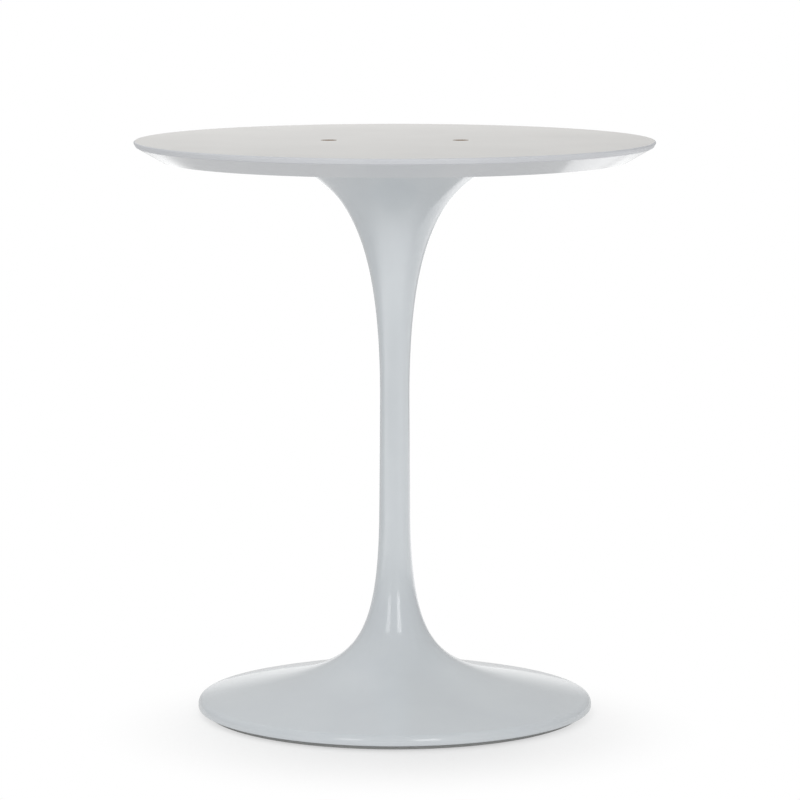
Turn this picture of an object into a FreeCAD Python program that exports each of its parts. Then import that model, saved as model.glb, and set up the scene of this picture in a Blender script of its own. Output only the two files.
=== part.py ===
import FreeCAD, Part
import math
import os

import Sketcher

# A tulip table base, free standing, in millimetres: +Z up, the floor at Z = 0, the axis on Z.
# A cast pedestal sweeps from a wide hollow foot through a slim solid neck to a flared head.
# It carries a bevelled support disc, held by two countersunk screws,
# and stands on a ring seated in a groove under its rim.

doc = FreeCAD.newDocument("TulipTableBase")

# Driving dimensions, angles in degrees
SIZES = {
    # support disc
    "overall_height": 720,
    "disc_diameter": 650,
    "disc_thickness": 25,
    "disc_edge_height": 6.7,
    "disc_edge_lean": 3,
    "disc_bevel_width": 32,
    "disc_edge_break": 1,
    # screws and their holes
    "screw_spacing": 164,
    "screw_diameter": 8,
    "screw_length": 40,
    "screw_head_diameter": 16,
    "screw_head_recess": 2,
    "screw_tip_chamfer": 1,
    "socket_width": 5,
    "socket_depth": 3,
    "screw_hole_clearance": 0.5,
    "thread_clearance": 0.1,
    "thread_run_out": 5,
    # outer form of the pedestal, from the foot up
    "foot_diameter": 496,
    "rim_lift": 5.5,
    "rim_side_height": 4.6,
    "rim_round": 8.4,
    "foot_slope": 14.3,
    "foot_sweep_radius": 107.5,
    "foot_blend_angle": 79.4,
    "neck_diameter": 38.2,
    "neck_blend_radius": 611,
    "head_blend_angle": 75.1,
    "head_sweep_radius": 154,
    "head_slope": 33,
    "head_diameter": 260,
    "head_edge_height": 2,
    # inside of the casting
    "wall_thickness": 6,
    "rim_shoulder": 5,
    "head_pocket_diameter": 116,
    "head_pocket_floor_diameter": 84,
    "head_pocket_depth": 55,
    # floor ring and its groove
    "ring_inset": 9,
    "ring_width": 10,
    "ring_groove_depth": 4,
    "ring_clearance": 0.15,
    "ring_edge_break": 1,
}

sheet = doc.addObject("Spreadsheet::Sheet", "Sizes")
for row, (name, value) in enumerate(SIZES.items(), start=1):
    sheet.set(f"A{row}", name)
    sheet.set(f"B{row}", str(value))
    sheet.setAlias(f"B{row}", name)
doc.recompute()

# Heights and radii that several pieces share, as formulas on the sheet
disc_underside = "(Sizes.overall_height - Sizes.disc_thickness)"
foot_radius = "(Sizes.foot_diameter / 2)"
neck_radius = "(Sizes.neck_diameter / 2)"
head_radius = "(Sizes.head_diameter / 2)"
ring_outer_radius = f"({foot_radius} - Sizes.ring_inset)"
ring_inner_radius = f"({ring_outer_radius} - Sizes.ring_width)"
ring_roof = "(Sizes.rim_lift + Sizes.ring_groove_depth)"
rim_side_top = "(Sizes.rim_lift + Sizes.rim_side_height)"
rim_round_end = (
    f"({foot_radius} - Sizes.rim_round * (1 - sin(Sizes.foot_slope)))",
    f"({rim_side_top} + Sizes.rim_round * cos(Sizes.foot_slope))",
)
rim_inner_radius = f"({ring_inner_radius} - Sizes.rim_shoulder)"
screw_offset = "(Sizes.screw_spacing / 2)"
screw_head_top = "(Sizes.overall_height - Sizes.screw_head_recess)"
screw_reach = f"(Sizes.screw_length - {screw_head_top} + {disc_underside})"

# Two lengths closer than this are the same
TOLERANCE = 0.01


def new_body(name):
    body = doc.addObject("PartDesign::Body", name)
    body.Label = name
    return body


def new_sketch(body, name, role, height="0"):
    """A sketch on one of the body's own origin planes, lifted off it by a height."""
    plane = next(feature for feature in body.Origin.OriginFeatures if feature.Role == role)
    sketch = body.newObject("Sketcher::SketchObject", name)
    sketch.AttachmentSupport = [(plane, "")]
    sketch.MapMode = "FlatFace"
    sketch.setExpression("AttachmentOffset.Base.z", height)
    return sketch


def point_at(across, up):
    """Where two formulas put a point on its sketch."""
    return FreeCAD.Vector(sheet.evalExpression(across), sheet.evalExpression(up), 0)


def pin_point(sketch, geometry, point, across, up):
    """Ties a point to the sketch's axes, or to distances from them."""
    place = point_at(across, up)
    for kind, distance, value, axis in (
        ("DistanceX", across, place.x, -2),
        ("DistanceY", up, place.y, -1),
    ):
        if distance == "0":
            sketch.addConstraint(Sketcher.Constraint("PointOnObject", geometry, point, axis))
        else:
            constraint = Sketcher.Constraint(kind, -1, 1, geometry, point, value)
            index = sketch.addConstraint(constraint)
            sketch.setExpression(f"Constraints[{index}]", distance)


def add_arc(sketch, start, end, centre_across):
    """An arc between two corners about a centre that is pinned across.

    Gives its number and which of its points lie at the start and at the end.
    """
    across = sheet.evalExpression(centre_across)
    chord = end - start
    middle = (start + end) / 2
    # The centre lies on the line that halves the chord squarely
    centre = FreeCAD.Vector(across, middle.y - (across - middle.x) * chord.x / chord.y, 0)
    crown = centre + (middle - centre).normalize() * (start - centre).Length
    index = sketch.addGeometry(Part.Arc(start, crown, end))
    row = sketch.addConstraint(Sketcher.Constraint("DistanceX", -1, 1, index, 3, across))
    sketch.setExpression(f"Constraints[{row}]", centre_across)
    # An arc runs anticlockwise about its own centre, so one that dips into the outline is reversed
    bulges_out = chord.cross(centre - start).z > 0
    return (index, 1, 2) if bulges_out else (index, 2, 1)


def draw_outline(sketch, corners, centres=None):
    """A closed outline, anticlockwise, from corner to corner.

    The edge after a corner is straight, or an arc where centres gives its distance across.
    """
    centres = centres or {}
    places = [point_at(across, up) for across, up in corners]
    edges = []
    for index, start in enumerate(places):
        end = places[(index + 1) % len(places)]
        if index in centres:
            edges.append(add_arc(sketch, start, end, centres[index]))
        else:
            edges.append((sketch.addGeometry(Part.LineSegment(start, end)), 1, 2))
    for index, (across, up) in enumerate(corners):
        before, _, before_last = edges[index - 1]
        edge, first, _ = edges[index]
        sketch.addConstraint(Sketcher.Constraint("Coincident", before, before_last, edge, first))
        pin_point(sketch, edge, first, across, up)


def revolve(body, kind, name, sketch):
    """Turns a sketch about the upright axis: kind is Revolution to add, Groove to cut."""
    turned = body.newObject(f"PartDesign::{kind}", name)
    turned.Profile = sketch
    turned.ReferenceAxis = (sketch, ["V_Axis"])
    turned.Angle = 360
    return turned


def draw_screw_circles(sketch, radius):
    """One circle on each screw axis."""
    for side in ("-", ""):
        across = f"{side}{screw_offset}"
        size = sheet.evalExpression(radius)
        start = point_at(across, "0")
        circle = sketch.addGeometry(Part.Circle(start, FreeCAD.Vector(0, 0, 1), size))
        pin_point(sketch, circle, 3, across, "0")
        index = sketch.addConstraint(Sketcher.Constraint("Radius", circle, size))
        sketch.setExpression(f"Constraints[{index}]", radius)


def round_edges(feature, radius):
    """Names of the level round edges at one radius from the axis, from the lowest up."""
    found = []
    for index, edge in enumerate(feature.Shape.Edges, start=1):
        start = edge.Vertexes[0].Point
        is_level = edge.isClosed() and edge.BoundBox.ZLength < TOLERANCE
        if is_level and abs(math.hypot(start.x, start.y) - radius) < TOLERANCE:
            found.append((start.z, f"Edge{index}"))
    return [name for height, name in sorted(found)]


# The trumpet's form: each bell, foot or head, is a straight slope, an arc that sweeps it upright
# and a larger arc that blends it into the neck, all meeting without a kink


def bell_points(edge, slope, sweep_radius, blend_angle, direction, inset="0"):
    """Where a bell's slope, sweep and blend end, and how far across the two arcs' centres lie.

    The edge is the slope's outer end; direction is + where the bell rises to the neck and - where
    it drops to it. An inset moves all of it in by a wall, about the same centres.
    """
    edge_across, edge_up = edge
    blend_centre = f"({neck_radius} + Sizes.neck_blend_radius)"
    centre_gap = f"(Sizes.neck_blend_radius - {sweep_radius})"
    sweep_centre = f"({blend_centre} - {centre_gap} * sin({blend_angle}))"
    slope_run = f"({edge_across} - {sweep_centre} + {sweep_radius} * sin({slope}))"
    slope_rise = f"({slope_run} * tan({slope}))"
    sweep_height = f"({edge_up} {direction} {slope_rise} {direction} {sweep_radius} * cos({slope}))"
    reach = f"({sweep_radius} + {inset})"
    slope_end = (
        f"({sweep_centre} - {reach} * sin({slope}))",
        f"({sweep_height} - ({direction} {reach} * cos({slope})))",
    )
    sweep_end = (
        f"({sweep_centre} - {reach} * sin({blend_angle}))",
        f"({sweep_height} - ({direction} {reach} * cos({blend_angle})))",
    )
    blend_end = (
        f"({neck_radius} - {inset})",
        f"({sweep_height} {direction} {centre_gap} * cos({blend_angle}))",
    )
    return (slope_end, sweep_end, blend_end), (sweep_centre, blend_centre)


def foot_bell(inset="0"):
    return bell_points(
        rim_round_end, "Sizes.foot_slope", "Sizes.foot_sweep_radius", "Sizes.foot_blend_angle", "+", inset
    )


def head_bell():
    head_edge = (head_radius, f"({disc_underside} - Sizes.head_edge_height)")
    return bell_points(
        head_edge, "Sizes.head_slope", "Sizes.head_sweep_radius", "Sizes.head_blend_angle", "-"
    )


# Pedestal: one casting, foot, neck and head in one sweep


def build_pedestal():
    body = new_body("pedestal")
    outline = new_sketch(body, "TrumpetOutline", "XZ_Plane")
    foot_points, foot_centres = foot_bell()
    head_points, head_centres = head_bell()
    corners = [
        ("0", "Sizes.rim_lift"),
        (foot_radius, "Sizes.rim_lift"),
        (foot_radius, rim_side_top),
        rim_round_end,
        *foot_points,
        *reversed(head_points),
        (head_radius, f"{disc_underside} - Sizes.head_edge_height"),
        (head_radius, disc_underside),
        ("0", disc_underside),
    ]
    centres = {
        2: f"{foot_radius} - Sizes.rim_round",
        4: foot_centres[0],
        5: foot_centres[1],
        7: head_centres[1],
        8: head_centres[0],
    }
    draw_outline(outline, corners, centres)
    revolve(body, "Revolution", "Trumpet", outline)

    # The hollow keeps an even wall below the slope and the sweep; above them the neck is solid
    hollow_points, hollow_centres = foot_bell("Sizes.wall_thickness")
    hollow_slope_end, hollow_sweep_end, _ = hollow_points
    rim_top = (
        f"{hollow_slope_end[1]} - ({rim_inner_radius} - {hollow_slope_end[0]}) * tan(Sizes.foot_slope)"
    )
    hollow_sketch = new_sketch(body, "HollowOutline", "XZ_Plane")
    hollow_corners = [
        ("0", "0"),
        (rim_inner_radius, "0"),
        (rim_inner_radius, rim_top),
        hollow_slope_end,
        hollow_sweep_end,
        ("0", hollow_sweep_end[1]),
    ]
    draw_outline(hollow_sketch, hollow_corners, {3: hollow_centres[0]})
    revolve(body, "Groove", "FootHollow", hollow_sketch)

    groove_sketch = new_sketch(body, "GrooveOutline", "XZ_Plane")
    groove_corners = [
        (f"{ring_inner_radius} - Sizes.ring_clearance", "0"),
        (f"{ring_outer_radius} + Sizes.ring_clearance", "0"),
        (f"{ring_outer_radius} + Sizes.ring_clearance", ring_roof),
        (f"{ring_inner_radius} - Sizes.ring_clearance", ring_roof),
    ]
    draw_outline(groove_sketch, groove_corners)
    revolve(body, "Groove", "RingGroove", groove_sketch)

    # The pocket lightens the head between the screws and narrows downwards, as a casting's draft
    pocket_sketch = new_sketch(body, "PocketOutline", "XZ_Plane")
    pocket_floor = f"{disc_underside} - Sizes.head_pocket_depth"
    pocket_corners = [
        ("0", pocket_floor),
        ("Sizes.head_pocket_floor_diameter / 2", pocket_floor),
        ("Sizes.head_pocket_diameter / 2", disc_underside),
        ("0", disc_underside),
    ]
    draw_outline(pocket_sketch, pocket_corners)
    revolve(body, "Groove", "HeadPocket", pocket_sketch)

    bore_sketch = new_sketch(body, "ThreadCircles", "XY_Plane", disc_underside)
    draw_screw_circles(bore_sketch, "Sizes.screw_diameter / 2")
    doc.recompute()
    bores = body.newObject("PartDesign::Hole", "ThreadBores")
    bores.Profile = bore_sketch
    bores.Threaded = False
    bores.DepthType = "Dimension"
    bores.DrillPoint = "Angled"
    bores.setExpression("Diameter", "Sizes.screw_diameter + 2 * Sizes.thread_clearance")
    bores.setExpression("Depth", f"{screw_reach} + Sizes.thread_run_out")
    return body


# Support disc: a round board, bevelled below, countersunk for the screws


def build_support_disc():
    body = new_body("support_disc")
    rim = "Sizes.disc_diameter / 2"
    lower_rim = f"{rim} - Sizes.disc_edge_lean"
    outline = new_sketch(body, "DiscOutline", "XZ_Plane")
    corners = [
        ("0", disc_underside),
        (f"{lower_rim} - Sizes.disc_bevel_width", disc_underside),
        (lower_rim, "Sizes.overall_height - Sizes.disc_edge_height"),
        (rim, "Sizes.overall_height"),
        ("0", "Sizes.overall_height"),
    ]
    draw_outline(outline, corners)
    board = revolve(body, "Revolution", "Board", outline)
    doc.recompute()

    edge_break = body.newObject("PartDesign::Chamfer", "TopEdgeBreak")
    edge_break.Base = (board, round_edges(board, sheet.get("disc_diameter") / 2))
    edge_break.setExpression("Size", "Sizes.disc_edge_break")

    hole_sketch = new_sketch(body, "ScrewHoleCircles", "XY_Plane", "Sizes.overall_height")
    draw_screw_circles(hole_sketch, "Sizes.screw_diameter / 2")
    doc.recompute()
    holes = body.newObject("PartDesign::Hole", "ScrewHoles")
    holes.Profile = hole_sketch
    holes.Threaded = False
    holes.DepthType = "ThroughAll"
    holes.HoleCutType = "Countersink"
    holes.HoleCutCountersinkAngle = 90
    holes.setExpression("Diameter", "Sizes.screw_diameter + 2 * Sizes.screw_hole_clearance")
    holes.setExpression("HoleCutDiameter", "Sizes.screw_head_diameter + 2 * Sizes.screw_head_recess")
    return body


# Disc screws: countersunk heads at 90 degrees with a hexagon socket


def build_disc_screw(name, side):
    body = new_body(name)
    shank = "Sizes.screw_diameter / 2"
    tip = f"{screw_head_top} - Sizes.screw_length"
    head_height = "(Sizes.screw_head_diameter - Sizes.screw_diameter) / 2"
    outline = new_sketch(body, f"{name}_outline", "XZ_Plane")
    corners = [
        ("0", tip),
        (f"{shank} - Sizes.screw_tip_chamfer", tip),
        (shank, f"{tip} + Sizes.screw_tip_chamfer"),
        (shank, f"{screw_head_top} - {head_height}"),
        ("Sizes.screw_head_diameter / 2", screw_head_top),
        ("0", screw_head_top),
    ]
    draw_outline(outline, corners)
    revolve(body, "Revolution", f"{name}_blank", outline)

    socket_sketch = new_sketch(body, f"{name}_hexagon", "XY_Plane", screw_head_top)
    reach = "Sizes.socket_width / 2 / cos(30)"
    socket_corners = []
    for index in range(6):
        angle = 60 * index
        # The first and fourth corners lie on the X axis, where a sine would leave a rounding error
        height = f"{reach} * sin({angle})" if index % 3 else "0"
        socket_corners.append((f"{reach} * cos({angle})", height))
    draw_outline(socket_sketch, socket_corners)
    socket = body.newObject("PartDesign::Pocket", f"{name}_socket")
    socket.Profile = socket_sketch
    socket.setExpression("Length", "Sizes.socket_depth")
    body.setExpression("Placement.Base.x", f"{side}{screw_offset}")
    return body


# Floor ring: seated in the groove under the rim, it carries the base clear of the floor


def build_floor_ring():
    body = new_body("floor_ring")
    outline = new_sketch(body, "RingOutline", "XZ_Plane")
    corners = [
        (ring_inner_radius, "0"),
        (ring_outer_radius, "0"),
        (ring_outer_radius, ring_roof),
        (ring_inner_radius, ring_roof),
    ]
    draw_outline(outline, corners)
    ring = revolve(body, "Revolution", "Ring", outline)
    doc.recompute()

    sole_break = body.newObject("PartDesign::Chamfer", "SoleEdgeBreak")
    outer = sheet.get("foot_diameter") / 2 - sheet.get("ring_inset")
    inner = outer - sheet.get("ring_width")
    sole_break.Base = (ring, round_edges(ring, outer)[:1] + round_edges(ring, inner)[:1])
    sole_break.setExpression("Size", "Sizes.ring_edge_break")
    return body


pieces = [
    build_pedestal(),
    build_support_disc(),
    build_disc_screw("disc_screw_left", "-"),
    build_disc_screw("disc_screw_right", ""),
    build_floor_ring(),
]
doc.recompute()

for feature in doc.Objects:
    if "Invalid" in feature.State or "Error" in feature.State:
        raise RuntimeError(f"{feature.Label} failed: {feature.State}")
for piece in pieces:
    if piece.Shape.isNull() or not piece.Shape.isValid():
        raise RuntimeError(f"{piece.Label} has no valid shape")

os.makedirs("parts", exist_ok=True)
for piece in pieces:
    piece.Shape.exportStep(f"parts/{piece.Label}.step")
    print(piece.Label, round(piece.Shape.Volume / 1000, 1), "cm3", len(piece.Shape.Faces), "faces")
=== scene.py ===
import bmesh
import bpy
import numpy as np
from math import atan2, cos, pi, radians, sin, tan
from mathutils.geometry import tessellate_polygon
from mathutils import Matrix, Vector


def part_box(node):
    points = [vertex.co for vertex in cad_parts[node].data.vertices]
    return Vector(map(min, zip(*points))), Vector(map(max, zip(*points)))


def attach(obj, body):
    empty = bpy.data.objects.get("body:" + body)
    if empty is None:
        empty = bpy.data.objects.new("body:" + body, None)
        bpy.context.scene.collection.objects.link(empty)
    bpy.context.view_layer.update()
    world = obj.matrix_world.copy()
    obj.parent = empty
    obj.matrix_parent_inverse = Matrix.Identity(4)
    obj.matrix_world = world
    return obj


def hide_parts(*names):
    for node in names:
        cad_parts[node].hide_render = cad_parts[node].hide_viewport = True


# A tulip table base in a plain studio: cast pedestal, support disc, two screws and a floor ring.
# Profiles are written in millimetres, as (distance from the axis, height), and meshes in metres.
# A land is the short flat on which a profile ends, next to its last corner.

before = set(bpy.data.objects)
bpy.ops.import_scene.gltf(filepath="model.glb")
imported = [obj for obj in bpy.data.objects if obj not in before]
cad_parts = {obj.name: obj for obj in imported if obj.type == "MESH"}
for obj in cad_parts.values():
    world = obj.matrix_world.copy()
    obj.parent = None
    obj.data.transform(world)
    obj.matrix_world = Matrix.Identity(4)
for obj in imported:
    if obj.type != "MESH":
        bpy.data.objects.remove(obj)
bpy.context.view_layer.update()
mm = 0.001
print("frame loaded", sorted(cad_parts))


def sizesOf(node):
    # Radius, lowest and highest point of a CAD node, in millimetres
    low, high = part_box(node)
    return (high.x - low.x) / 2 / mm, low.z / mm, high.z / mm


footRadius, rimUnderside, headTop = sizesOf("pedestal")
discRadius, discUnderside, discTop = sizesOf("support_disc")
ringRadius, floorLevel, ringTop = sizesOf("floor_ring")
screwLow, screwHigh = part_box("disc_screw_right")
screwPlace = (screwLow.x + screwHigh.x) / 2 / mm  # how far each screw stands from the axis


# Curves that make up a profile, each an array of points


def cubicCurve(start, startHandle, endHandle, end, steps):
    # Weighted mean of four points; the weights are the binomial terms of (1 - t) and t
    t = np.linspace(0, 1, steps + 1)[:, None]
    terms = (1 - t) ** 3, 3 * (1 - t) ** 2 * t, 3 * (1 - t) * t ** 2, t ** 3
    points = start, startHandle, endHandle, end
    return sum(term * np.array(point) for term, point in zip(terms, points))


def roundedPath(corners, steps=6, guard=1.5):
    # Straight legs with each corner (r, z, rounding) swapped for an arc that both legs touch.
    # A guard point on each leg, just past the arc, keeps the flats looking flat.
    path = [np.array(corners[0][:2])]
    for before, corner, after in zip(corners, corners[1:], corners[2:]):
        point = np.array(corner[:2])
        toBefore = np.array(before[:2]) - point
        toAfter = np.array(after[:2]) - point
        legs = np.linalg.norm(toBefore), np.linalg.norm(toAfter)
        toBefore = toBefore / legs[0]
        toAfter = toAfter / legs[1]
        rounding = corner[2]
        if rounding == 0:
            path.append(point)
            continue
        half = np.arccos(np.clip(toBefore @ toAfter, -1, 1)) / 2
        touch = rounding / tan(half)
        bisector = toBefore + toAfter
        centre = point + bisector / np.linalg.norm(bisector) * rounding / sin(half)
        first = point + toBefore * touch - centre
        last = point + toAfter * touch - centre
        turn = pi - 2 * half
        t = np.linspace(0, 1, steps + 1)[:, None]
        arc = centre + (np.sin((1 - t) * turn) * first + np.sin(t * turn) * last) / sin(turn)
        if legs[0] > touch + 2 * guard:
            path.append(point + toBefore * (touch + guard))
        path.extend(arc)
        if legs[1] > touch + 2 * guard:
            path.append(point + toAfter * (touch + guard))
    path.append(np.array(corners[-1][:2]))
    return np.array(path)


def joinPaths(parts):
    # Puts (path, slot) pairs end to end. Each path starts at the last point of the one before, and
    # its slot goes to the rows of faces along it.
    points = np.concatenate([parts[0][0]] + [path[1:] for path, slot in parts[1:]])
    slots = np.concatenate([np.full(len(path) - 1, slot) for path, slot in parts])
    return points, slots


# Meshes


def turned(radius, height, around, slots=0, across=0, loop=False):
    # Point (i, j) stands at radius[i, j] from the axis, at the angle 2 pi j / around, at height[i].
    # Slots number the finish of each row of faces; a loop joins its last row to its first.
    rows = len(height)
    radius = np.broadcast_to(np.asarray(radius, float).reshape(rows, -1), (rows, around))
    levels = np.broadcast_to(np.asarray(height, float)[:, None], (rows, around))
    angle = 2 * pi * np.arange(around) / around
    points = np.stack([radius * np.cos(angle) + across, radius * np.sin(angle), levels], axis=2) * mm
    numbers = np.arange(rows * around).reshape(rows, around)
    lower = numbers if loop else numbers[:-1]
    upper = np.roll(numbers, -1, axis=0) if loop else numbers[1:]
    quads = np.stack([lower, np.roll(lower, -1, axis=1), np.roll(upper, -1, axis=1), upper], axis=2)
    return {
        "points": points.reshape(-1, 3), "quads": quads.reshape(-1, 4), "rows": numbers,
        "slots": np.repeat(np.broadcast_to(slots, len(lower)), around),
    }


def makePiece(name, surfaces, materials, flats=(), sharp=40):
    # Joins turned surfaces into one closed piece. A flat, written as (row, slot), is the flat face
    # that reaches from the first surface's first or last row to the same row of the others.
    firsts = np.cumsum([0] + [len(surface["points"]) for surface in surfaces[:-1]])
    points = np.concatenate([surface["points"] for surface in surfaces])
    quads = [surface["quads"] + first for surface, first in zip(surfaces, firsts)]
    faces = np.concatenate(quads).tolist()
    slots = np.concatenate([surface["slots"] for surface in surfaces]).tolist()
    for row, slot in flats:
        loops = [surface["rows"][row] + first for surface, first in zip(surfaces, firsts)]
        corners = tessellate_polygon([points[loop].tolist() for loop in loops])
        triangles = np.concatenate(loops)[np.array(corners)]
        faces += triangles.tolist()
        slots += [slot] * len(triangles)
    mesh = bpy.data.meshes.new(name)
    for material in materials:
        mesh.materials.append(finishes[material])
    mesh.from_pydata(points.tolist(), [], faces)
    mesh.polygons.foreach_set("material_index", np.array(slots, np.int32))
    closePoles(mesh)
    mesh.polygons.foreach_set("use_smooth", np.ones(len(mesh.polygons), bool))
    mesh.set_sharp_from_angle(angle=radians(sharp))
    piece = bpy.data.objects.new(name, mesh)
    bpy.context.scene.collection.objects.link(piece)
    return piece


def closePoles(mesh):
    # Points that coincide on the axis become one, which leaves triangles around it
    work = bmesh.new()
    work.from_mesh(mesh)
    bmesh.ops.remove_doubles(work, verts=work.verts, dist=1e-7)
    bmesh.ops.recalc_face_normals(work, faces=work.faces)
    work.to_mesh(mesh)
    work.free()


# Materials


def linearColour(code):
    # An sRGB hex code as linear red, green and blue with a full alpha
    values = np.array([int(code[place:place + 2], 16) for place in (1, 3, 5)]) / 255
    linear = np.where(values <= 0.04045, values / 12.92, ((values + 0.055) / 1.055) ** 2.4)
    return (*linear.tolist(), 1.0)


def addNode(tree, kind, settings=None, links=None):
    # Settings go to an input of that name or number, or else to the node itself
    node = tree.nodes.new(kind)
    for key, value in (settings or {}).items():
        if isinstance(key, int) or key in node.inputs:
            node.inputs[key].default_value = value
        else:
            setattr(node, key, value)
    for key, (source, output) in (links or {}).items():
        tree.links.new(source.outputs[output], node.inputs[key])
    return node


def newFinish(name, colours, cloud, roughness, grains, **sockets):
    # Colour and roughness drift together in clouds of about the given size. Each grain is a bump
    # of (size, depth) laid over the one before. All lengths are in millimetres. The nodes come
    # back with the material, for finishes that add to them.
    material = bpy.data.materials.new(name)
    material.use_nodes = True
    tree = material.node_tree
    tree.nodes.clear()
    place = addNode(tree, "ShaderNodeTexCoord")
    spot = {"Vector": (place, "Object")}
    clouds = addNode(tree, "ShaderNodeTexNoise", {"Scale": 1 / (cloud * mm), "Detail": 3.0}, spot)
    # The noise seldom leaves its middle range, so that range is stretched to the whole from 0 to 1
    share = addNode(tree, "ShaderNodeMapRange", {"From Min": 0.3, "From Max": 0.7}, {"Value": (clouds, 0)})
    colour = addNode(
        tree, "ShaderNodeMix",
        {"data_type": "RGBA", 6: linearColour(colours[0]), 7: linearColour(colours[1])}, {0: (share, 0)})
    dullness = addNode(
        tree, "ShaderNodeMapRange", {"To Min": roughness[0], "To Max": roughness[1]}, {"Value": (share, 0)})
    skin = None
    for size, depth in grains:
        bumps = addNode(tree, "ShaderNodeTexNoise", {"Scale": 1 / (size * mm), "Detail": 1.0}, spot)
        under = {"Normal": (skin, 0)} if skin else {}
        skin = addNode(tree, "ShaderNodeBump", {"Distance": depth * mm}, {"Height": (bumps, 0), **under})
    shader = addNode(
        tree, "ShaderNodeBsdfPrincipled", sockets,
        {"Base Color": (colour, 2), "Roughness": (dullness, 0), "Normal": (skin, 0)})
    addNode(tree, "ShaderNodeOutputMaterial", links={"Surface": (shader, 0)})
    return {
        "material": material, "tree": tree, "spot": spot, "share": share, "colour": colour, "skin": skin,
        "shader": shader,
    }


def glossPowderCoat():
    # Gloss white powder coat, baked on cast metal: bright and cool, its reflections soft-edged
    # and slightly wavy from the orange peel and the casting under it
    return newFinish(
        "gloss_white_powder_coat", ("#CCD1D5", "#D0D5D8"), 90, (0.16, 0.22), [(28, 0.08), (6, 0.008)],
        IOR=1.5, **{"Coat Weight": 0.45, "Coat Roughness": 0.06})["material"]


def castUnderside():
    # Sand-cast aluminium under an uneven overspray of the same white: pebbled, dull, with bare
    # metal showing through in patches
    finish = newFinish(
        "cast_aluminium_oversprayed", ("#B5B7B9", "#C9CBCD"), 26, (0.5, 0.7), [(2.5, 0.35)], IOR=1.5)
    tree = finish["tree"]
    metal = addNode(
        tree, "ShaderNodeMapRange", {"To Min": 0.2, "To Max": 0.0}, {"Value": (finish["share"], 0)})
    tree.links.new(metal.outputs[0], finish["shader"].inputs["Metallic"])
    return finish["material"]


def mattLacquer():
    # Matt warm grey lacquer rolled on a board: no reflections, only a fine stipple and faint clouds
    return newFinish(
        "matt_grey_lacquer", ("#D4D3D1", "#D8D7D5"), 120, (0.7, 0.8), [(3, 0.05)], IOR=1.25)["material"]


def satinLacquer():
    # The board's edge, sprayed a little smoother: a soft sheen without a picture in it. Its grey, cooler
    # and a little darker than the top's, is painted shade.
    return newFinish(
        "satin_grey_lacquer", ("#CBCDD1", "#CFD1D4"), 100, (0.36, 0.44), [(9, 0.01)], IOR=1.47)["material"]


def glossLacquer():
    # The bevel and the underside, sprayed gloss: a clear, slightly wavy reflection of the floor. Their
    # grey, cooler and a little darker than the top's, is painted shade from under the board.
    return newFinish(
        "gloss_grey_lacquer", ("#CCCED1", "#D0D2D4"), 100, (0.14, 0.2), [(22, 0.03)],
        IOR=1.5, **{"Coat Weight": 0.4, "Coat Roughness": 0.03})["material"]


def bareFibreboard():
    # Bare fibreboard where the screw holes cut through the lacquer: brown, felted, quite dull
    return newFinish(
        "bare_fibreboard", ("#6E5A48", "#9B8670"), 1.2, (0.8, 0.9), [(1.2, 0.2)], IOR=1.45)["material"]


def zincPlate():
    # Bright zinc plate on a steel screw: cool grey metal with soft spangle and fine turning marks
    finish = newFinish(
        "bright_zinc_plate", ("#8E9092", "#A6A8A6"), 1.5, (0.28, 0.45), [(1.5, 0.01)], Metallic=1.0)
    tree = finish["tree"]
    marks = addNode(
        tree, "ShaderNodeTexWave",
        {"wave_type": "RINGS", "rings_direction": "Z", "Scale": 1 / (0.8 * mm), "Distortion": 0.5},
        finish["spot"])
    turning = addNode(
        tree, "ShaderNodeBump", {"Distance": 0.01 * mm},
        {"Height": (marks, 1), "Normal": (finish["skin"], 0)})
    tree.links.new(turning.outputs[0], finish["shader"].inputs["Normal"])
    return finish["material"]


def greyRubber():
    # Moulded grey rubber: nearly no shine, a little lighter towards its sole
    finish = newFinish(
        "moulded_grey_rubber", ("#A3A4A3", "#B4B5B3"), 20, (0.6, 0.8), [(1.5, 0.06)], IOR=1.52)
    tree = finish["tree"]
    height = addNode(tree, "ShaderNodeSeparateXYZ", links=finish["spot"])
    # The colour turns lighter over the lowest 3 mm, towards the sole
    towardsSole = addNode(
        tree, "ShaderNodeMapRange", {"From Max": 3 * mm, "To Min": 0.8, "To Max": 0.0},
        {"Value": (height, "Z")})
    tree.links.new(towardsSole.outputs[0], finish["colour"].inputs[0])
    return finish["material"]


finishes = {make.__name__: make() for make in (
    glossPowderCoat, castUnderside, mattLacquer, satinLacquer, glossLacquer, bareFibreboard, zincPlate,
    greyRubber)}
print("materials made", len(finishes))


# Pedestal: one casting, hollow under the foot, with a pocket in its head

pedestal = {
    "around": 240, "aroundBore": 48, "footSteps": 110, "neckSteps": 12, "headSteps": 90, "rimSteps": 14,
    "rimSideHeight": 4.6, "rimRound": 8.4, "lipRound": 1.4, "land": 3,
    "footSlope": 14.3, "footSlopeReach": 172, "footRiseReach": 216, "wallRise": 0.7,
    "neckLowRadius": 19.6, "neckLowHeight": 251, "neckHighRadius": 18.6, "neckHighHeight": 390,
    "headRiseReach": 250.5, "headSlopeReach": 61, "headSlope": 34,
    "headRadius": 130, "headEdge": 2, "headRound": 0.5,
    "wall": 6, "hollowTopHeight": 135, "hollowTopRadius": 23.6, "hollowTopRound": 3, "cornerRoom": 4,
    "rimInnerRadius": 224, "rimInnerTopRound": 2, "rimInnerLipRound": 0.8,
    "grooveInnerRadius": 228.85, "grooveOuterRadius": 239.15, "grooveDepth": 4, "grooveRound": 0.3,
    "pocketRadius": 58, "pocketFloorRadius": 42, "pocketDepth": 55,
    "pocketFloorRound": 3, "pocketLipRound": 1,
    "boreRadius": 4.1, "boreDepth": 22, "borePoint": 2.4,
}


def neckLean(size):
    # How much the neck's radius shrinks in each millimetre of height
    narrowing = size["neckLowRadius"] - size["neckHighRadius"]
    return narrowing / (size["neckHighHeight"] - size["neckLowHeight"])


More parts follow.
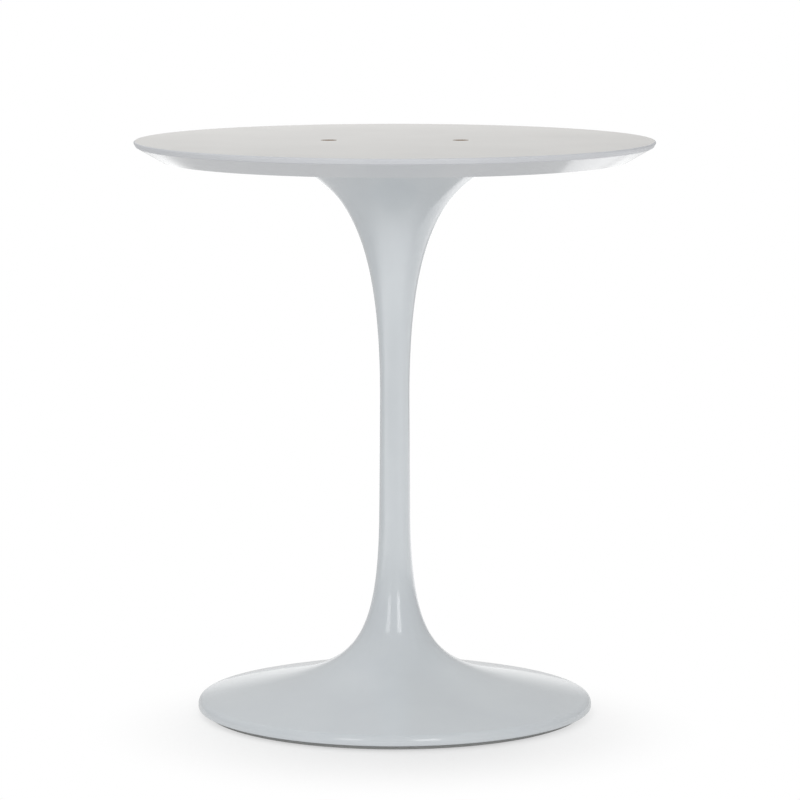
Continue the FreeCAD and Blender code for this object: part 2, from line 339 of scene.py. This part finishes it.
def footCurve(size, inset):
    # A cubic from the rim's round to the neck, or the same moved in by a wall
    slope = radians(size["footSlope"])
    reach = size["footSlopeReach"]
    rounding = size["rimRound"] - inset
    start = (
        footRadius - size["rimRound"] + rounding * sin(slope),
        rimUnderside + size["rimSideHeight"] + rounding * cos(slope),
    )
    startHandle = (start[0] - reach * cos(slope), start[1] + reach * sin(slope))
    end = (size["neckLowRadius"] - inset, size["neckLowHeight"])
    # The inner curve rises a little further, which keeps the wall even round the sweep
    rise = size["footRiseReach"] + size["wallRise"] * inset
    endHandle = (end[0] + neckLean(size) * rise, end[1] - rise)
    return cubicCurve(start, startHandle, endHandle, end, size["footSteps"])


def headCurve(size):
    # A cubic from the neck to the head's edge, starting along the neck's lean
    slope = radians(size["headSlope"])
    rise = size["headRiseReach"]
    reach = size["headSlopeReach"]
    start = (size["neckHighRadius"], size["neckHighHeight"])
    startHandle = (start[0] - neckLean(size) * rise, start[1] + rise)
    end = (size["headRadius"], headTop - size["headEdge"])
    endHandle = (end[0] - reach * cos(slope), end[1] - reach * sin(slope))
    return cubicCurve(start, startHandle, endHandle, end, size["headSteps"])


def pedestalShell(size):
    # From the top of the foot's hollow out to the rim, up the outside and in over the head's top
    coat, underside = 0, 1
    hollowHeight = size["hollowTopHeight"]
    innerRadius = size["rimInnerRadius"]
    hollow = footCurve(size, size["wall"])[::-1]
    # The curve stops short of the hollow's top and of the rim, to leave room for their rounded corners
    low = hollow[:, 1] < hollowHeight - size["cornerRoom"]
    narrow = hollow[:, 0] < innerRadius - size["cornerRoom"]
    hollow = hollow[low & narrow]
    hollowTop = roundedPath([
        (0, hollowHeight, 0), (size["hollowTopRadius"], hollowHeight, size["hollowTopRound"]),
        (*hollow[0], 0),
    ])
    rimTop = hollow[-1][1] - (innerRadius - hollow[-1][0]) * tan(radians(size["footSlope"]))
    roof = rimUnderside + size["grooveDepth"]
    landRadius = footRadius - size["land"]
    rimInside = roundedPath([
        (*hollow[-1], 0), (innerRadius, rimTop, size["rimInnerTopRound"]),
        (innerRadius, rimUnderside, size["rimInnerLipRound"]),
        (size["grooveInnerRadius"], rimUnderside, size["grooveRound"]),
        (size["grooveInnerRadius"], roof, 0), (size["grooveOuterRadius"], roof, 0),
        (size["grooveOuterRadius"], rimUnderside, size["grooveRound"]), (landRadius, rimUnderside, 0),
    ])
    sideTop = rimUnderside + size["rimSideHeight"]
    rimSide = roundedPath([
        (landRadius, rimUnderside, 0), (footRadius, rimUnderside, size["lipRound"]),
        (footRadius, sideTop, 0),
    ])
    angle = np.linspace(0, radians(90 - size["footSlope"]), size["rimSteps"] + 1)
    rimRadius = footRadius - size["rimRound"] * (1 - np.cos(angle))
    rimRound = np.stack([rimRadius, sideTop + size["rimRound"] * np.sin(angle)], axis=1)
    foot = footCurve(size, 0)
    head = headCurve(size)
    neck = foot[-1] + (head[0] - foot[-1]) * np.linspace(0, 1, size["neckSteps"] + 1)[:, None]
    headEdge = roundedPath([
        (*head[-1], 0), (size["headRadius"], headTop, size["headRound"]),
        (size["headRadius"] - size["land"], headTop, 0),
    ])
    points, slots = joinPaths([
        (hollowTop, underside), (hollow, underside), (rimInside, underside), (rimSide, coat),
        (rimRound, coat), (foot, coat), (neck, coat), (head, coat), (headEdge, coat),
    ])
    return turned(points[:, 0], points[:, 1], size["around"], slots)


def buildPedestal(size):
    underside = 1
    pocketFloor = headTop - size["pocketDepth"]
    pocket = roundedPath([
        (0, pocketFloor, 0), (size["pocketFloorRadius"], pocketFloor, size["pocketFloorRound"]),
        (size["pocketRadius"], headTop, size["pocketLipRound"]),
        (size["pocketRadius"] + size["land"], headTop, 0),
    ])
    boreEnd = headTop - size["boreDepth"]
    boreRadii = [0, size["boreRadius"], size["boreRadius"]]
    boreHeights = [boreEnd - size["borePoint"], boreEnd, headTop]
    surfaces = [pedestalShell(size), turned(pocket[:, 0], pocket[:, 1], size["around"], underside)]
    for side in (-1, 1):
        surfaces.append(turned(boreRadii, boreHeights, size["aroundBore"], underside, side * screwPlace))
    materials = "glossPowderCoat", "castUnderside"
    piece = makePiece("pedestal_casting", surfaces, materials, [(-1, underside)])
    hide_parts("pedestal")
    return piece


# Support disc: a round board, matt on top, with a sloping satin edge and a gloss bevel below

supportDisc = {
    "around": 480, "aroundHole": 64, "edgeHeight": 6.7, "edgeLean": 3, "bevelWidth": 32, "land": 6,
    "topRound": 1.8, "edgeRound": 0.8, "bevelRound": 1.5, "satinReach": 2, "satinDrop": 1.1,
    "holeRadius": 4.5, "countersinkRadius": 10, "throatRound": 0.5, "lipRound": 0.4, "lipLand": 3,
}


def buildSupportDisc(size):
    matt, satin, gloss, bare = 0, 1, 2, 3
    lowerRim = discRadius - size["edgeLean"]
    edgeFoot = discTop - size["edgeHeight"]
    bevelStart = lowerRim - size["bevelWidth"]
    # The edge's satin reaches just round the lower corner, so the bevel's gloss stops short of it
    bevel = roundedPath([
        (bevelStart - size["land"], discUnderside, 0), (bevelStart, discUnderside, size["bevelRound"]),
        (lowerRim - size["satinReach"], edgeFoot - size["satinDrop"], 0),
    ])
    # The sharp corner stands out past the board's radius by about what its rounding takes off
    halfCorner = (pi / 2 - atan2(size["edgeLean"], size["edgeHeight"])) / 2
    cornerRadius = discRadius + size["topRound"] * (1 / tan(halfCorner) - 1)
    edge = roundedPath([
        (*bevel[-1], 0), (lowerRim, edgeFoot, size["edgeRound"]), (cornerRadius, discTop, size["topRound"]),
        (discRadius - size["land"], discTop, 0),
    ])
    points, slots = joinPaths([(bevel, gloss), (edge, satin)])
    # The last two rows of faces lie flat on the top
    slots[-2:] = matt
    surfaces = [turned(points[:, 0], points[:, 1], size["around"], slots)]
    sinkRadius = size["countersinkRadius"]
    throat = discTop - sinkRadius + size["holeRadius"]
    hole = roundedPath([
        (size["holeRadius"], discUnderside, 0), (size["holeRadius"], throat, size["throatRound"]),
        (sinkRadius, discTop, size["lipRound"]), (sinkRadius + size["lipLand"], discTop, 0),
    ])
    holeSlots = [bare] * (len(hole) - 2) + [matt]
    for side in (-1, 1):
        surfaces.append(turned(hole[:, 0], hole[:, 1], size["aroundHole"], holeSlots, side * screwPlace))
    materials = "mattLacquer", "satinLacquer", "glossLacquer", "bareFibreboard"
    piece = makePiece("support_disc_board", surfaces, materials, [(0, gloss), (-1, matt)])
    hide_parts("support_disc")
    return piece


# Disc screws: countersunk, with a hexagon socket and a rolled thread

discScrew = {
    "around": 72, "shankRadius": 4, "headRadius": 8, "headRim": 0.4, "rimChamfer": 0.1, "topChamfer": 0.15,
    "socketWidth": 5, "socketDepth": 3, "socketPoint": 0.8, "socketLip": 0.9, "socketLipDrop": 0.35,
    "pitch": 1.25, "threadDepth": 0.65, "rowsPerPitch": 6, "plainShank": 2,
    "tipChamfer": 1, "tipInset": 0.3,
}


def buildDiscScrew(name, side, size):
    top = screwHigh.z / mm
    tip = screwLow.z / mm
    around = size["around"]
    angle = 2 * pi * np.arange(around) / around
    # A hexagon's radius is half its width over the cosine of the angle from the nearest flat's middle
    hexagon = size["socketWidth"] / 2 / np.cos((angle + pi / 6) % (pi / 3) - pi / 6)
    neck = top - size["headRadius"] + size["shankRadius"]
    threadTop = neck - size["plainShank"]
    turns = (threadTop - tip - size["tipChamfer"]) / size["pitch"]
    threadRows = np.linspace(tip + size["tipChamfer"], threadTop, int(turns * size["rowsPerPitch"]))
    # The thread is a triangle wave of height and angle together, which winds it as a helix
    phase = (threadRows[:, None] / size["pitch"] - angle / (2 * pi)) % 1
    fade = np.clip((threadTop - threadRows[:, None]) / size["pitch"], 0, 1)
    thread = size["shankRadius"] - size["threadDepth"] * fade * np.abs(2 * phase - 1)
    ring = np.ones(around)
    tipRadius = size["shankRadius"] - size["threadDepth"] - size["tipInset"]
    headRadius = size["headRadius"]
    rimFoot = top - size["headRim"]
    socketFloor = top - size["socketDepth"]
    rows = [(0 * ring, tip), (tipRadius * ring, tip)]
    rows += list(zip(thread, threadRows))
    rows += [
        (size["shankRadius"] * ring, neck),
        ((headRadius - size["rimChamfer"]) * ring, rimFoot - size["rimChamfer"]),
        (headRadius * ring, rimFoot), (headRadius * ring, top - size["topChamfer"]),
        ((headRadius - size["topChamfer"]) * ring, top),
        ((size["socketWidth"] / 2 + size["socketLip"]) * ring, top),
        (hexagon, top - size["socketLipDrop"]), (hexagon, socketFloor),
        (0 * ring, socketFloor - size["socketPoint"]),
    ]
    radius = np.array([row[0] for row in rows])
    height = np.array([row[1] for row in rows])
    screw = turned(radius, height, around, across=side * screwPlace)
    piece = makePiece(f"{name}_zinc", [screw], ["zincPlate"], sharp=25)
    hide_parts(name)
    return piece


# Floor ring: a rubber ring held in the groove under the rim

floorRing = {"around": 288, "width": 10, "soleRound": 1.5, "topRound": 0.5}


def buildFloorRing(size):
    inner = ringRadius - size["width"]
    middle = ringRadius - size["width"] / 2
    sole, crown = size["soleRound"], size["topRound"]
    points = roundedPath([
        (middle, floorLevel, 0), (ringRadius, floorLevel, sole), (ringRadius, ringTop, crown),
        (inner, ringTop, crown), (inner, floorLevel, sole), (middle, floorLevel, 0),
    ])[:-1]
    ring = turned(points[:, 0], points[:, 1], size["around"], loop=True)
    piece = makePiece("floor_ring_rubber", [ring], ["greyRubber"])
    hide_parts("floor_ring")
    return piece


pieces = [
    buildPedestal(pedestal),
    buildSupportDisc(supportDisc),
    buildDiscScrew("disc_screw_left", -1, discScrew),
    buildDiscScrew("disc_screw_right", 1, discScrew),
    buildFloorRing(floorRing),
]
for piece in pieces:
    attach(piece, "root")
    print("piece", piece.name, len(piece.data.polygons), "faces")


# Studio: pale floor, white surround, soft lamps and the camera; lengths are in metres

smooth = {"interpolation_type": "SMOOTHSTEP"}

# The floor takes the shadow out to where its fade ends, round the shade's centre. From the third
# row on, the levels and the places along Y and X shape what the gloss parts reflect of the floor.
studioFloor = {
    "halfWidth": 20, "colour": "#E8E8E8", "whiteShare": 0.44,
    "shadeCentre": (0, -0.12, 0), "fadeStart": 0.11, "fadeEnd": 0.39,
    "farLevel": 0.95, "nearLevel": 2.1, "backLevel": 0.65, "brightLevel": 1.5,
    "farEnd": -2.1, "nearStart": -0.9, "nearEnd": -0.7, "backStart": 0.1,
    "patchSlant": 0.3, "patchStart": 0.69, "patchEnd": 0.73,
    "sweepStart": 1.15, "sweepEnd": 2.3, "sweepHalfWidth": 0.6, "sweepFade": 0.9,
}


def buildFloor(size):
    # Close to the base the floor shows some of its own colour and takes the shadow. Further out
    # the camera sees it fully white, and reflections see it at the levels worked out below.
    half = size["halfWidth"]
    corners = [(-half, -half, 0), (half, -half, 0), (half, half, 0), (-half, half, 0)]
    mesh = bpy.data.meshes.new("studio_floor")
    mesh.from_pydata(corners, [], [(0, 1, 2, 3)])
    floor = bpy.data.objects.new("studio_floor", mesh)
    bpy.context.scene.collection.objects.link(floor)
    material = bpy.data.materials.new("pale_studio_floor")
    material.use_nodes = True
    tree = material.node_tree
    tree.nodes.clear()
    place = addNode(tree, "ShaderNodeTexCoord")
    path = addNode(tree, "ShaderNodeLightPath")
    distance = addNode(
        tree, "ShaderNodeVectorMath", {"operation": "DISTANCE", 1: size["shadeCentre"]},
        {0: (place, "Object")})
    share = addNode(
        tree, "ShaderNodeMapRange",
        {**smooth, "From Min": size["fadeStart"], "From Max": size["fadeEnd"],
         "To Min": size["whiteShare"], "To Max": 1.0}, {"Value": (distance, 1)})
    mirrored = addNode(
        tree, "ShaderNodeMath", {"operation": "MAXIMUM"},
        {0: (path, "Is Glossy Ray"), 1: (path, "Is Transmission Ray")})
    seen = addNode(
        tree, "ShaderNodeMath", {"operation": "MAXIMUM"}, {0: (path, "Is Camera Ray"), 1: (mirrored, 0)})
    factor = addNode(tree, "ShaderNodeMath", {"operation": "MULTIPLY"}, {0: (share, 0), 1: (seen, 0)})
    # To reflections the floor is brightest just before the base and grey behind it, but for a
    # bright patch with a slanted border on the right and a white sweep further back
    spot = addNode(tree, "ShaderNodeSeparateXYZ", links={0: (place, "Object")})
    sideways = addNode(tree, "ShaderNodeMath", {"operation": "ABSOLUTE"}, {0: (spot, "X")})
    sweepDepth = addNode(
        tree, "ShaderNodeMapRange",
        {**smooth, "From Min": size["sweepStart"], "From Max": size["sweepEnd"]}, {"Value": (spot, "Y")})
    sweep = addNode(
        tree, "ShaderNodeMapRange",
        {**smooth, "From Min": size["sweepHalfWidth"], "From Max": size["sweepFade"], "To Max": 0.0},
        {"Value": (sideways, 0), "To Min": (sweepDepth, 0)})
    slanted = addNode(
        tree, "ShaderNodeMath", {"operation": "MULTIPLY_ADD", 1: size["patchSlant"]},
        {0: (spot, "Y"), 2: (spot, "X")})
    patchSide = addNode(
        tree, "ShaderNodeMapRange",
        {**smooth, "From Min": size["patchStart"], "From Max": size["patchEnd"]}, {"Value": (slanted, 0)})
    patch = addNode(
        tree, "ShaderNodeMapRange",
        {**smooth, "From Min": size["sweepStart"], "From Max": size["sweepEnd"], "To Max": 0.0},
        {"Value": (spot, "Y"), "To Min": (patchSide, 0)})
    bright = addNode(tree, "ShaderNodeMath", {"operation": "MAXIMUM"}, {0: (sweep, 0), 1: (patch, 0)})
    front = addNode(
        tree, "ShaderNodeMapRange",
        {**smooth, "From Min": size["farEnd"], "From Max": size["nearStart"],
         "To Min": size["farLevel"], "To Max": size["nearLevel"]}, {"Value": (spot, "Y")})
    depth = addNode(
        tree, "ShaderNodeMapRange",
        {**smooth, "From Min": size["nearEnd"], "From Max": size["backStart"], "To Max": size["backLevel"]},
        {"Value": (spot, "Y"), "To Min": (front, 0)})
    lit = addNode(
        tree, "ShaderNodeMix", {"data_type": "FLOAT", 3: size["brightLevel"]},
        {0: (bright, 0), 2: (depth, 0)})
    level = addNode(
        tree, "ShaderNodeMix", {"data_type": "FLOAT", 2: 1.0}, {0: (path, "Is Glossy Ray"), 3: (lit, 0)})
    paint = addNode(tree, "ShaderNodeBsdfDiffuse", {"Color": linearColour(size["colour"])})
    white = addNode(tree, "ShaderNodeEmission", {"Color": (1, 1, 1, 1)}, {"Strength": (level, 0)})
    mixed = addNode(tree, "ShaderNodeMixShader", links={0: (factor, 0), 1: (paint, 0), 2: (white, 0)})
    addNode(tree, "ShaderNodeOutputMaterial", links={"Surface": (mixed, 0)})
    mesh.materials.append(material)


# Spread is how far a direction lies from straight back, and depth is its Y from -1 to 1
surround = {
    "level": 0.68, "frontReflection": 0.55, "backReflection": 1.0, "sideReflection": 0.5,
    "backSpread": 0.08, "sideSpread": 0.28, "frontDepth": -0.6, "backDepth": 0.3,
}


def buildSurround(size):
    # White to the camera and an even soft light on everything. Reflections see it white low down
    # behind the base and grey elsewhere.
    world = bpy.data.worlds.new("studio_surround")
    bpy.context.scene.world = world
    world.use_nodes = True
    tree = world.node_tree
    tree.nodes.clear()
    path = addNode(tree, "ShaderNodeLightPath")
    place = addNode(tree, "ShaderNodeTexCoord")
    direction = addNode(tree, "ShaderNodeSeparateXYZ", links={"Vector": (place, "Generated")})
    aside = addNode(
        tree, "ShaderNodeVectorMath", {"operation": "DISTANCE", 1: (0, 1, 0)}, {0: (place, "Generated")})
    back = addNode(
        tree, "ShaderNodeMapRange",
        {**smooth, "From Min": size["backSpread"], "From Max": size["sideSpread"],
         "To Min": size["backReflection"], "To Max": size["sideReflection"]}, {"Value": (aside, 1)})
    reflected = addNode(
        tree, "ShaderNodeMapRange",
        {**smooth, "From Min": size["frontDepth"], "From Max": size["backDepth"],
         "To Min": size["frontReflection"]}, {"Value": (direction, "Y"), "To Max": (back, 0)})
    level = addNode(
        tree, "ShaderNodeMix", {"data_type": "FLOAT", 2: size["level"]},
        {0: (path, "Is Glossy Ray"), 3: (reflected, 0)})
    shown = addNode(
        tree, "ShaderNodeMix", {"data_type": "FLOAT", 3: 1.0}, {0: (path, "Is Camera Ray"), 2: (level, 0)})
    glow = addNode(tree, "ShaderNodeBackground", {"Color": (1, 1, 1, 1)}, {"Strength": (shown, 0)})
    addNode(tree, "ShaderNodeOutputWorld", links={"Surface": (glow, 0)})


# Each lamp stands at an azimuth to the right of the camera and faces the base; metres and watts.
# Only the two strips show in reflections, as streaks low on the neck.
lamps = {
    "lamp_overhead": {"azimuth": -90, "distance": 0.9, "height": 2.9, "size": (2.0, 2.0), "power": 6.5},
    "lamp_front_fill": {"azimuth": -2, "distance": 6.0, "height": 1.6, "size": (5.0, 2.7), "power": 18},
    "lamp_right_strip": {"azimuth": 19, "distance": 3.0, "height": 1.45, "size": (0.8, 1.7), "power": 13.3},
    "lamp_left_strip": {"azimuth": -27, "distance": 3.0, "height": 1.45, "size": (0.8, 1.6), "power": 8.4},
    "lamp_back_left": {"azimuth": -163, "distance": 1.3, "height": 1.7, "size": (0.8, 0.8), "power": 8.6},
}
lampAim = 0.4  # the height on the base that every lamp faces


def buildLamps():
    for name, lamp in lamps.items():
        data = bpy.data.lights.new(name, "AREA")
        data.shape = "RECTANGLE"
        data.size, data.size_y = lamp["size"]
        data.energy = lamp["power"]
        stand = bpy.data.objects.new(name, data)
        bpy.context.scene.collection.objects.link(stand)
        turn = radians(lamp["azimuth"])
        stand.location = (lamp["distance"] * sin(turn), -lamp["distance"] * cos(turn), lamp["height"])
        stand.visible_glossy = "strip" in name
        # An area lamp shines down its own -Z, so it is tipped towards the base's middle
        stand.rotation_euler = (atan2(lamp["distance"], lamp["height"] - lampAim), 0, turn)


# Lens and sensor in millimetres, shift in sensor widths, pitch in degrees below level
view = {"lens": 182.7, "sensor": 36, "shift": 0.00656, "distance": 5.044, "height": 1.058, "pitch": 7.496}


def buildCamera(size):
    data = bpy.data.cameras.new("camera")
    data.lens = size["lens"]
    data.sensor_width = size["sensor"]
    data.shift_x = size["shift"]
    camera = bpy.data.objects.new("camera", data)
    bpy.context.scene.collection.objects.link(camera)
    camera.location = (0, -size["distance"], size["height"])
    camera.rotation_euler = (radians(90 - size["pitch"]), 0, 0)
    bpy.context.scene.camera = camera


buildFloor(studioFloor)
buildSurround(surround)
buildLamps()
buildCamera(view)
bpy.context.scene.view_settings.view_transform = "Standard"
print("studio ready")
